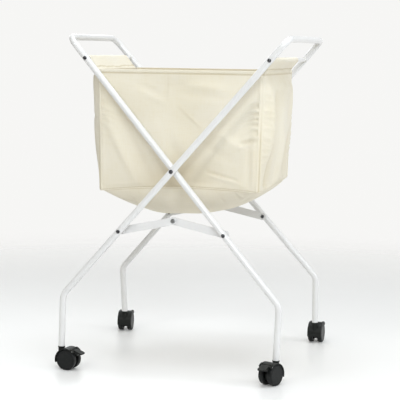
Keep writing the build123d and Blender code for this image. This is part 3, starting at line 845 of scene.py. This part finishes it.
    def seam_lines(self, height: Array) -> Tuple[Array, Array]:
        """1 on the corner seams, and 1 on the bottom seam, at that height of each point."""
        edge, normal = np.abs(self.edge), np.abs(self.normal)
        turned = np.abs(np.arctan2(normal[:, 1], normal[:, 0]) - math.pi / 4)
        along_wall = np.maximum(1.0 - edge.min(axis=1), 0.0) * self.half_depth
        from_corner = self.corner * np.minimum(turned, math.pi / 4) + along_wall
        from_bottom = height - self.seam_height()[None, :]
        return bell(from_corner[None, :], self.groove_reach), bell(from_bottom, self.groove_reach)

    def wall_shade(self, points: Array, sunk: Array) -> Array:
        """Painted shade on the walls' cloth: seams, folds, creases, under the hem, and low down.

        Args:
            points: The walls' points.
            sunk: How deep in a fold each of them is.

        Returns:
            The darkness of each, from 0 to 1.
        """
        across, height = points[:, :, 0], points[:, :, 2]
        drop = (self.rim - height) / self.wall_height
        # Painted shade in the seam grooves.
        corner_line, bottom_line = self.seam_lines(height)
        seam_top, seam_gain = self.seam_groove_shade
        corner_line = corner_line * (seam_top + seam_gain * smooth_step(drop, 0.3, 0.6))
        # Painted shadow under the hem's lower edge.
        below_hem, spread = self.hem_shadow
        under_hem = bell(self.rim - height - self.hem_height - below_hem, spread)
        # Painted shade along the sharp creases of the front.
        sharp = (crease for crease in FRONT_CREASES if crease.profile is Profile.SHARP)
        pressed = sum(crease.rise(across, height) / crease.height for crease in sharp)
        # Painted shade low on the front, behind the crossing.
        low_middle = bell(across + 0.02, 0.085) * smooth_step(drop, 0.62, 0.92)
        marks = self.crease_shade * pressed + self.middle_shade * low_middle
        marks = np.where(self.facing(1, -1.0), marks, 0.0)
        # Painted shade lower down and deep in the folds.
        tone = self.low_shade * smooth_step(drop, 0.45, 1.0) + marks + self.fold_shade * sunk
        lines = np.maximum(np.maximum(corner_line, bottom_line), 0.6 * under_hem)
        return np.clip(lines + tone, 0.0, 1.0)

    def wall_points(self) -> Tuple[Array, Array, Array]:
        """The walls' grid, from the rim down.

        Each point stands on the outline and moves out by the billow of its wall, which goes as
        1 - |edge|^n between two corners, then by the ripples, creases and puckers.

        Returns:
            Points and outward directions, rows by columns by 3, and how deep in a fold each point is.
        """
        (edge_x, edge_y), (normal_x, normal_y) = self.edge.T[:, None, :], self.normal.T[:, None, :]
        share = 0.5 + 0.5 * spread_out(self.wall_rows)[:, None]
        half_width = self.rod_reach - self.rod_inset - self.draw_in * share
        base_x = edge_x * (half_width - self.corner)
        base_y = edge_y * (self.half_depth - self.corner) + 0.0 * share
        height = self.rim + (self.seam_height()[None, :] - self.rim) * share
        forward = (1.0 - np.abs(edge_x) ** 4) * np.abs(normal_y)
        rise = self.front_billow * np.sin(math.pi * share) * forward
        for side, (billow, steepness, full_at, slack_from) in SIDE_SWELL.items():
            loss = self.swell_loss * smooth_step(share, slack_from, 1.0)
            swell = smooth_step(share, 0.0, full_at) * (1.0 - loss)
            sideways = (1.0 - np.abs(edge_y) ** steepness) * np.maximum(normal_x * side, 0.0)
            rise = rise + billow * swell * sideways
        held = smooth_step(share, *self.hem_hold) * (1.0 - smooth_step(share, self.seam_hold, 1.0))
        sunk = np.zeros(height.shape)
        for axis, side, wall_creases, seed in WALLS:
            across, along = ((base_y, edge_y), (base_x, edge_x))[axis]
            folds = sum(crease.rise(across, height) for crease in wall_creases)
            off_corner = 1.0 - np.abs(along) ** 8
            folds = folds * (1.0 - self.corner_hold + self.corner_hold * off_corner)
            folds = folds + self.ripple(across, height, seed) * off_corner
            folds = np.where(self.facing(axis, side), folds * held, 0.0)
            rise = rise + folds
            sunk = sunk + np.clip(-folds / self.deep_fold, 0.0, 1.0)
        for axis, side, end, strength, stretch in PUCKERS:
            across, half = ((base_y, self.half_depth), (base_x, half_width))[axis]
            pleats = strength * self.pucker(half - np.abs(across) - self.corner, height, *stretch)
            rise = rise + np.where(self.facing(axis, side) & (across * end > 0.0), pleats, 0.0)
        reach = self.corner + (rise - self.groove * np.maximum(*self.seam_lines(height)))
        flat_normal = np.append(self.normal, np.zeros((len(self.normal), 1)), axis=1)
        points = np.stack([base_x, base_y, height], axis=-1) + flat_normal[None] * reach[:, :, None]
        return points, np.broadcast_to(flat_normal[None], points.shape), sunk

    def belly_points(self, ring: Array) -> Array:
        """The belly's grid, from the bottom seam in to its middle.

        Ring k of the outline is shrunk by s = sin(pi k' / 2), and with x and y on the unit square,
        times s, its drop is (1 - |x|^2.4)^(0.84 + 0.2 x) * (1 - |y|^2.2)^0.55, deeper on the left.

        Args:
            ring: The walls' lowest row of points.

        Returns:
            Points, rows by columns by 3.
        """
        shrink = np.sin(0.5 * math.pi * np.linspace(1.0, 0.012, self.belly_rows))[:, None]
        across, along = self.edge.T[:, None, :] * shrink
        spread = np.maximum(1.0 - np.abs(across) ** 2.4, 0.0) ** (0.84 + 0.2 * across)
        drop = spread * np.maximum(1.0 - np.abs(along) ** 2.2, 0.0) ** 0.55
        level = self.rim - self.wall_height
        depth = (level - self.belly_floor - 0.002) * (1.0 - self.belly_shift * across)
        x, y = ring.T[:2, None, :] * shrink
        folds = sum(crease.rise(x, y) for crease in BELLY_CREASES) + self.ripple(x, y, 11) * 0.8
        folds = folds * smooth_step(1.0 - shrink, 0.0, 0.04)
        z = level + (ring[None, :, 2] - level) * shrink**6 - depth * drop - folds * 0.8
        return np.stack([x, y, np.maximum(z, self.belly_floor - 0.004)], axis=-1)

    def join(self, piece: Piece) -> None:
        """Hangs a finished piece on the bag's body, to fold flat with it."""
        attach(piece, "bag")
        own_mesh(piece)
        self.pieces.append(piece)
        log.info("bag: %s, %d faces", piece.name, len(piece.data.polygons))

    def make_walls(self, canvas: Finish) -> Tuple[Array, Array]:
        """The four walls as one shell; hands back its points and their outward directions."""
        points, outward, sunk = self.wall_points()
        around = run_length(points[self.wall_rows // 2], True)
        height = np.concatenate([points[:, :, 2], points[:, :1, 2]], axis=1)
        flat = np.stack([np.broadcast_to(around, height.shape), height - self.rim], axis=-1)
        faces, corners = grid_faces(*points.shape[:2], True)
        flat = flat.reshape(-1, 2)[corners]
        walls = make_piece("bag_walls", points, faces, canvas, flat, self.wall_shade(points, sunk))
        thicken(walls, self.cloth, -1.0)
        self.join(walls)
        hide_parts("bag")
        return points, outward

    def make_belly(self, ring: Array, canvas: Finish) -> None:
        """The bottom panel, closed at its middle by one fan."""
        points = self.belly_points(ring)
        rows, columns = points.shape[:2]
        faces, _ = grid_faces(rows, columns, True)
        last = (rows - 1) * columns + np.arange(columns)
        fan = np.stack([last, np.full(columns, rows * columns), np.roll(last, -1)], axis=1)
        every = np.concatenate([points.reshape(-1, 3), points[-1].mean(axis=0)[None, :]])
        loops = np.concatenate([faces.ravel(), fan.ravel()])
        from_seam = np.linalg.norm(every - np.resize(ring, every.shape), axis=1)
        # Painted shade over the belly, darkest along its seam.
        shade = self.belly_shade[0] + self.belly_shade[1] * bell(from_seam, self.belly_seam)
        faces = faces.tolist() + fan.tolist()
        belly = make_piece("bag_belly", every, faces, canvas, every[loops, :2], shade)
        thicken(belly, self.cloth, -1.0)
        self.join(belly)

    def make_seams(self, points: Array, outward: Array, canvas: Finish) -> None:
        """The folded hem over the rim, and the welts round the bottom seam and down each corner."""
        up = np.tile([0.0, 0.0, 1.0], (points.shape[1], 1))
        fold = rounded_profile(self.hem_stand + self.cloth / 2, self.hem_height / 2, 5.0, 18)
        path = points[0] - outward[0] * self.cloth / 2 - up * (self.hem_height / 2 - self.hem_stand)
        # The hem's inside gets painted shade.
        self.join(Band(fold, True, self.rim_inside_shade).make("bag_rim_hem", path, outward[0], up, canvas))
        welt = rounded_profile(self.welt, self.welt * 1.3, 2.4, 12)
        ring, out = points[-1], outward[-1]
        self.join(Band(welt, True).make("bag_bottom_seam", ring - out * self.welt * 0.3, out, up, canvas))
        front, side, turn = self.panel_points
        ends = {"front_right": front - 1, "back_right": front + turn + side, "front_left": 0}
        ends["back_left"] = 2 * front + 2 * turn + side - 1
        for name, column in ends.items():
            path, out = points[3:-1, column], outward[3:-1, column]
            sideways = unit(np.cross(out, np.gradient(path, axis=0)))
            line = path + out * self.welt * 0.15
            self.join(Band(welt, False).make(f"bag_{name}_seam", line, out, sideways, canvas))

    def make_stitches(self, points: Array, outward: Array, thread: Finish) -> None:
        """The stitch lines: under the hem, above the bottom seam and beside the corner seams."""
        sewing, out, row = Stitching(), outward[0], self.wall_rows - 3
        line = points[0] + out * self.hem_stand - np.array([0.0, 0.0, self.hem_height - self.hem_sewn])
        self.join(sewing.make("bag_hem_stitches", line, out, thread, closed=True))
        self.join(sewing.make("bag_seam_stitches", points[row], outward[row], thread, closed=True))
        front, side, turn = self.panel_points
        columns = {"front_right": front - 5, "front_left": 4}
        columns["back_right"] = front + 2 * turn + side + 4
        columns["back_left"] = 2 * front + 2 * turn + side - 5
        for name, column in columns.items():
            path, normals = points[5:-3, column], outward[5:-3, column]
            self.join(sewing.make(f"bag_{name}_stitches", path, normals, thread))

    def make(self, canvas: Finish, thread: Finish) -> None:
        """Makes every piece of the bag."""
        points, outward = self.make_walls(canvas)
        self.make_belly(points[-1], canvas)
        self.make_seams(points, outward, canvas)
        self.make_stitches(points, outward, thread)


@dataclass
class Sleeve:
    """The bag's loop round one rod: two layers sewn together below it, with a flap down to the rim."""

    name: str
    body: str
    rod: Vector  # a point on the rod's axis, in the middle plane
    rim: Vector  # the top of the bag's side
    rod_radius: float
    rod_span: Pair  # front and back ends of the loop on the rod
    rim_span: Pair  # front and back ends of the flap at the rim
    slack: float = 0.0009  # cloth to the rod
    stitch_line: float = 0.0280  # rod axis to the seam under it
    stitch_gap: float = 0.0045  # from that seam to the second one
    stitched: float = 0.985  # the share of the sleeve's length that is stitched
    waist: float = 0.86  # the share of the way to the seam where the layers part
    overlap: float = 0.0060  # how far the flap runs down past the rim
    end_hem: float = 0.0110
    cloth: float = 0.0010
    columns: int = 120
    turns: int = 26
    flap_rows: int = 8

    def section(self) -> Array:
        """The cloth's path across the rod, in its own plane.

        From the end of the flap it runs up to the seam, leaves it on the tangent to a circle round
        the rod, goes round that circle and comes back down; p is along the pull, q across it.

        Returns:
            Points (p, q), n by 2.
        """
        radius = self.rod_radius + self.slack + self.cloth / 2
        gap = self.cloth * 0.55
        end = (self.rim - self.rod).length + self.overlap
        touch = math.acos(radius / self.stitch_line)
        angle = np.linspace(touch, 2.0 * math.pi - touch, self.turns)
        loop = np.stack([radius * np.cos(angle), radius * np.sin(angle)], axis=1)
        flap = np.linspace(end, self.stitch_line, self.flap_rows)
        down = np.stack([flap, np.full(self.flap_rows, gap)], axis=1)
        down = np.concatenate([down, [[self.stitch_line * self.waist, gap * 1.5]]])
        return np.concatenate([down, loop, down[::-1] * np.array([1.0, -1.0])])

    def depth(self, pull: Array, y: Array) -> Array:
        """Where a point of the cloth is in depth: its ends slant from the rod's span to the rim's.

        Args:
            pull: Distance from the rod's axis towards the rim.
            y: Place along the loop, from its middle.

        Returns:
            Its place along Y.
        """
        share = smooth_step(pull, 0.0, (self.rim - self.rod).length)
        (rod_front, rod_back), (rim_front, rim_back) = self.rod_span, self.rim_span
        middle_place = (rod_front + rod_back) / 2 * (1.0 - share) + (rim_front + rim_back) / 2 * share
        return middle_place + (1.0 + share * ((rim_back - rim_front) / (rod_back - rod_front) - 1.0)) * y

    def make(self, canvas: Finish, thread: Finish) -> None:
        """Makes the sleeve and its two rows of stitches, and hangs them on the frame."""
        pull = (self.rim - self.rod).normalized()
        axes = (self.rod, pull, Vector((0.0, 1.0, 0.0)).cross(pull))
        origin, along_pull, along_side = (np.array(axis) for axis in axes)
        section, length = self.section(), self.rod_span[1] - self.rod_span[0]
        y = np.linspace(-1.0, 1.0, self.columns) * length / 2
        chance = np.random.default_rng(len(self.name))
        ripple = sum(
            size * np.sin(2.0 * math.pi * y / wave + chance.uniform(0.0, 6.3))[None, :]
            for wave, size in ((0.21, 0.0005), (0.083, 0.0004), (0.031, 0.00022))
        )
        tall, wide = section.T[:, :, None]
        loosened = smooth_step(tall, 0.004, 0.02)
        p = tall + ripple * 1.6 * loosened * (tall > 0.0)
        q = wide + ripple * loosened
        points = origin + p[..., None] * along_pull + q[..., None] * along_side
        points[..., 1] = self.depth(tall, y[None, :])
        flat = np.stack(np.meshgrid(run_length(section), y, indexing="ij"), axis=-1)
        # Painted shade along the seam under the rod and along each end hem.
        painted_shade = 0.62 * bell(tall - self.stitch_line, 0.0016)
        from_end = np.minimum(y - y[0], y[-1] - y)[None, :]
        shade = np.maximum(painted_shade, 0.5 * bell(from_end - self.end_hem, 0.0012))
        faces, corners = grid_faces(*points.shape[:2], False)
        flat = flat.reshape(-1, 2)[corners]
        sleeve = make_piece(f"{self.name}_cloth", points, faces, canvas, flat, shade)
        thicken(sleeve, self.cloth, 0.0)
        extra = []
        for side, face in ((1.0, "outside"), (-1.0, "inside")):
            for row, distance in enumerate((self.stitch_line, self.stitch_line + self.stitch_gap)):
                line = origin + distance * along_pull + side * self.cloth * 1.05 * along_side
                path = np.tile(line, (self.columns, 1))
                path[:, 1] = self.depth(np.array([distance]), y * self.stitched)
                path += (ripple[0] * smooth_step(np.array([distance]), 0.004, 0.02))[:, None] * along_side
                out = np.tile(side * along_side, (self.columns, 1))
                label = f"{self.name}_{face}_stitches_{row + 1}"
                extra.append(Stitching().make(label, path, out, thread))
        for piece in (sleeve, *extra):
            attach(piece, self.body)
            log.info("%s: %s, %d faces", self.name, piece.name, len(piece.data.polygons))
        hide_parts(self.name)


# ---- the studio ----
@dataclass(frozen=True)
class SoftLight:
    """A rectangular studio light that looks at the trolley's middle."""

    name: str
    place: Sequence[float]
    size: Pair
    power: float
    colour: Colour = (0.90, 0.95, 1.0)

    def make(self, target: Vector) -> None:
        """Adds the light, turned to the target."""
        data = bpy.data.lights.new(self.name, "AREA")
        data.shape = "RECTANGLE"
        data.size, data.size_y = self.size
        data.energy = self.power
        data.color = self.colour
        light = add_object(self.name, data)
        light.location = self.place
        light.rotation_euler = (target - light.location).to_track_quat("-Z", "Y").to_euler()


@dataclass
class Studio:
    """A pale floor, soft lights and the camera."""

    camera_place: Sequence[float] = (0.9632, -3.5930, 0.7875)
    yaw: float = 14.837  # degrees that the view turns to the left of +Y
    pitch: float = 5.886  # degrees below the level
    roll: float = 0.694
    lens: float = 131.1
    floor_size: float = 4.2
    floor_sides: int = 96
    floor_anchor: float = 1.0  # depth that the floor draws towards as the trolley folds
    backdrop: Colour = (0.925, 0.922, 0.908)
    surround: Colour = (0.305, 0.297, 0.270)
    backdrop_heading: Sequence[float] = (0.40, 0.90, -1.6)  # the way that it brightens
    backdrop_edge: Pair = (-0.25, 0.35)

    def make_camera(self) -> None:
        """Places the camera by its turn, tilt and roll, and makes it the scene's."""
        yaw, pitch, roll = (math.radians(angle) for angle in (self.yaw, self.pitch, self.roll))
        level = math.cos(pitch)
        ahead = Vector((-math.sin(yaw) * level, math.cos(yaw) * level, -math.sin(pitch)))
        right = Vector((math.cos(yaw), math.sin(yaw), 0.0))
        up = right.cross(ahead)
        rolled = right * math.cos(roll) + up * math.sin(roll)
        data = bpy.data.cameras.new("studio_camera")
        data.lens = self.lens
        data.clip_end = 60.0
        camera = add_object("studio_camera", data)
        turn = Matrix((rolled, rolled.cross(ahead), -ahead)).transposed().to_4x4()
        camera.matrix_world = Matrix.Translation(self.camera_place) @ turn
        bpy.context.scene.camera = camera

    def make_floor(self, folded_drop: float) -> None:
        """A level round floor under the casters.

        Args:
            folded_drop: How far the casters sink at the end of the fold.
        """
        angle = np.linspace(0.0, 2.0 * math.pi, self.floor_sides, endpoint=False)
        ring = np.stack([np.cos(angle), np.sin(angle), 0.0 * angle], axis=1) * self.floor_size
        floor = make_piece("studio_floor", ring, [list(range(self.floor_sides))], StudioFloor().build())
        share = 1.0 - folded_drop / self.floor_anchor
        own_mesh(floor)

    def make_lights(self, target: Vector) -> None:
        """The key and the side light from the right, a fill from the left and the pale surroundings."""
        lights = (
            SoftLight("key_light", (1.25, -3.0, 2.25), (2.2, 0.8), 72.0),
            SoftLight("fill_light", (-1.25, -3.0, 2.3), (0.8, 0.8), 24.0, (0.97, 0.965, 0.93)),
            SoftLight("side_light", (3.2, -0.2, 1.5), (1.2, 1.4), 31.0),
            SoftLight("top_light", (0.1, 0.2, 3.6), (2.2, 2.2), 80.0),
            SoftLight("back_light", (-1.6, 3.1, 1.9), (2.0, 1.4), 20.0),
        )
        for light in lights:
            light.make(target)
        sky = Shader(bpy.data.worlds.new("studio_surround"))
        toward = sky.node("ShaderNodeTexCoord", None, None, "Generated")
        across = sky.part(toward, "X")
        along = sky.part(toward, "Y")
        height = sky.part(toward, "Z")
        right, back, rise = self.backdrop_heading
        facing = across * right + along * back + height.smooth(0.04, 0.4) * rise
        glow = sky.mix(facing.smooth(*self.backdrop_edge), self.surround, self.backdrop)
        seen = sky.node("ShaderNodeLightPath", None, None, "Is Camera Ray")
        light = sky.node("ShaderNodeBackground", None, {"Color": sky.mix(seen, glow, self.backdrop)})
        sky.node("ShaderNodeOutputWorld", None, {"Surface": light})
        scene = bpy.context.scene
        scene.world = sky.owner
        scene.view_settings.view_transform = "Standard"
        scene.view_settings.look = "None"

    def make(self, target: Vector, folded_drop: float) -> None:
        """Sets the whole studio up round the target."""
        self.make_camera()
        self.make_floor(folded_drop)
        self.make_lights(target)


def middle(node: str) -> Vector:
    """The middle of a CAD node's box."""
    low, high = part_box(node)
    return (Vector(low) + Vector(high)) / 2


def dress_construction(finishes: Dict[str, Finish]) -> None:
    """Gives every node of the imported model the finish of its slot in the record."""
    for subpart in frame["record"]["subparts"]:
        node = frame["nodes"][subpart["node"]]
        for holder in node.material_slots:
            holder.material = finishes[subpart["material_slot"]]
        log.info("construction: %s in %s", subpart["node"], subpart["material_slot"])


def fold_share(rod: Vector, pivot: Vector, fold: float) -> float:
    """How much of its reach from the middle a rod keeps when its frame has turned by fold degrees."""
    reach, rise = abs(rod.x - pivot.x), rod.z - pivot.z
    lean = math.atan2(reach, rise) - math.radians(fold)
    return math.hypot(reach, rise) * math.sin(lean) / reach


def wheel_drop(pivot: Vector, fold: float) -> float:
    """How far the wheels sink below their floor when the frames have turned by fold degrees."""
    depths = []
    for corner in ("front_left", "front_right", "back_left", "back_right"):
        for side in ("left", "right"):
            reach = middle(f"{corner}_{side}_wheel") - pivot
            lean = math.atan2(abs(reach.x), -reach.z) - math.radians(fold)
            depths.append(math.hypot(reach.x, reach.z) * math.cos(lean) + reach.z)
    return max(depths)


def main() -> None:
    """Finishes the construction, sews the bag and sets up the studio."""
    logging.basicConfig(level=logging.INFO, format="%(name)s: %(message)s")
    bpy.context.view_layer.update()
    finishes = slot_finishes()
    canvas, thread = finishes[Slot.CANVAS.value], Thread("cream_sewing_thread").build()
    dress_construction(finishes)

    bag_low, bag_high = (Vector(corner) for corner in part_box("bag"))
    rod, pivot = middle("outer_bag_rod"), middle("crossing_bolts")
    fold = next(joint for joint in frame["joints"] if joint["name"] == "fold")
    bag = Bag(
        rim=bag_high.z,
        rod_reach=abs(rod.x),
        half_depth=bag_high.y - FRONT_BULGE,
        belly_floor=bag_low.z,
        fold_keep=fold_share(rod, pivot, fold["range_deg"][1]),
    )
    bag.make(canvas, thread)
    for name, side in (("outer", 1.0), ("inner", -1.0)):
        rod_low, rod_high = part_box(f"{name}_bag_rod")
        sleeve_low, sleeve_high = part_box(f"{name}_sleeve")
        back_end = min(bag.half_depth - FLAP_SHORTFALL, sleeve_high[1] + FLAP_FLARE)
        Sleeve(
            name=f"{name}_sleeve",
            body=f"{name}_frame",
            rod=middle(f"{name}_bag_rod"),
            rim=Vector((side * (bag.rod_reach - bag.rod_inset + FLAP_STAND), 0.0, bag.rim)),
            rod_radius=(rod_high[2] - rod_low[2]) / 2,
            rod_span=(sleeve_low[1], sleeve_high[1]),
            rim_span=(max(FLAP_STAND - bag.half_depth, sleeve_low[1]), back_end),
        ).make(canvas, thread)

    Studio().make(middle("bag"), wheel_drop(pivot, fold["range_deg"][1]))


if __name__ == "__main__":
    main()
